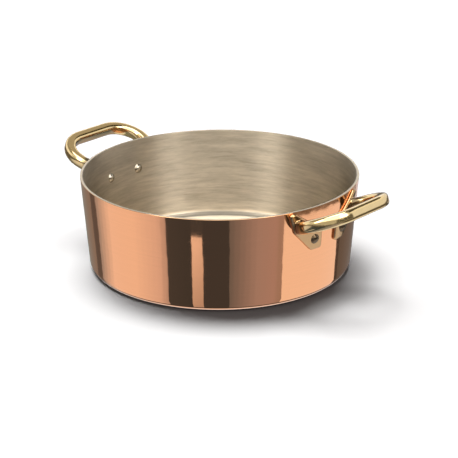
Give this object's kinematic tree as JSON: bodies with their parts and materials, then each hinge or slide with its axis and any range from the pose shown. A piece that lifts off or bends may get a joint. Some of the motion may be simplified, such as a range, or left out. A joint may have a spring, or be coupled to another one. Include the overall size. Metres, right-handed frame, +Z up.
{
  "type": "two-handled pan",
  "caption": "Low round copper pan with a steel lining and two brass loop handles riveted to opposite sides.",
  "frame": {"origin": "middle of the underside, on the surface the pan stands on", "axes": "+Z up out of the mouth, +X through the middle of the right handle"},
  "size_m": [0.375, 0.2798, 0.1063],
  "materials": {
    "copper": "polished",
    "lining_steel": "brushed",
    "brass": "polished",
    "rivet_steel": "polished"
  },
  "bodies": {
    "root": {"copper_shell": "copper", "lining": "lining_steel", "handle_right": "brass", "handle_left": "brass", "rivet_right_front": "rivet_steel", "rivet_right_back": "rivet_steel", "rivet_left_back": "rivet_steel", "rivet_left_front": "rivet_steel"}
  },
  "joints": []
}
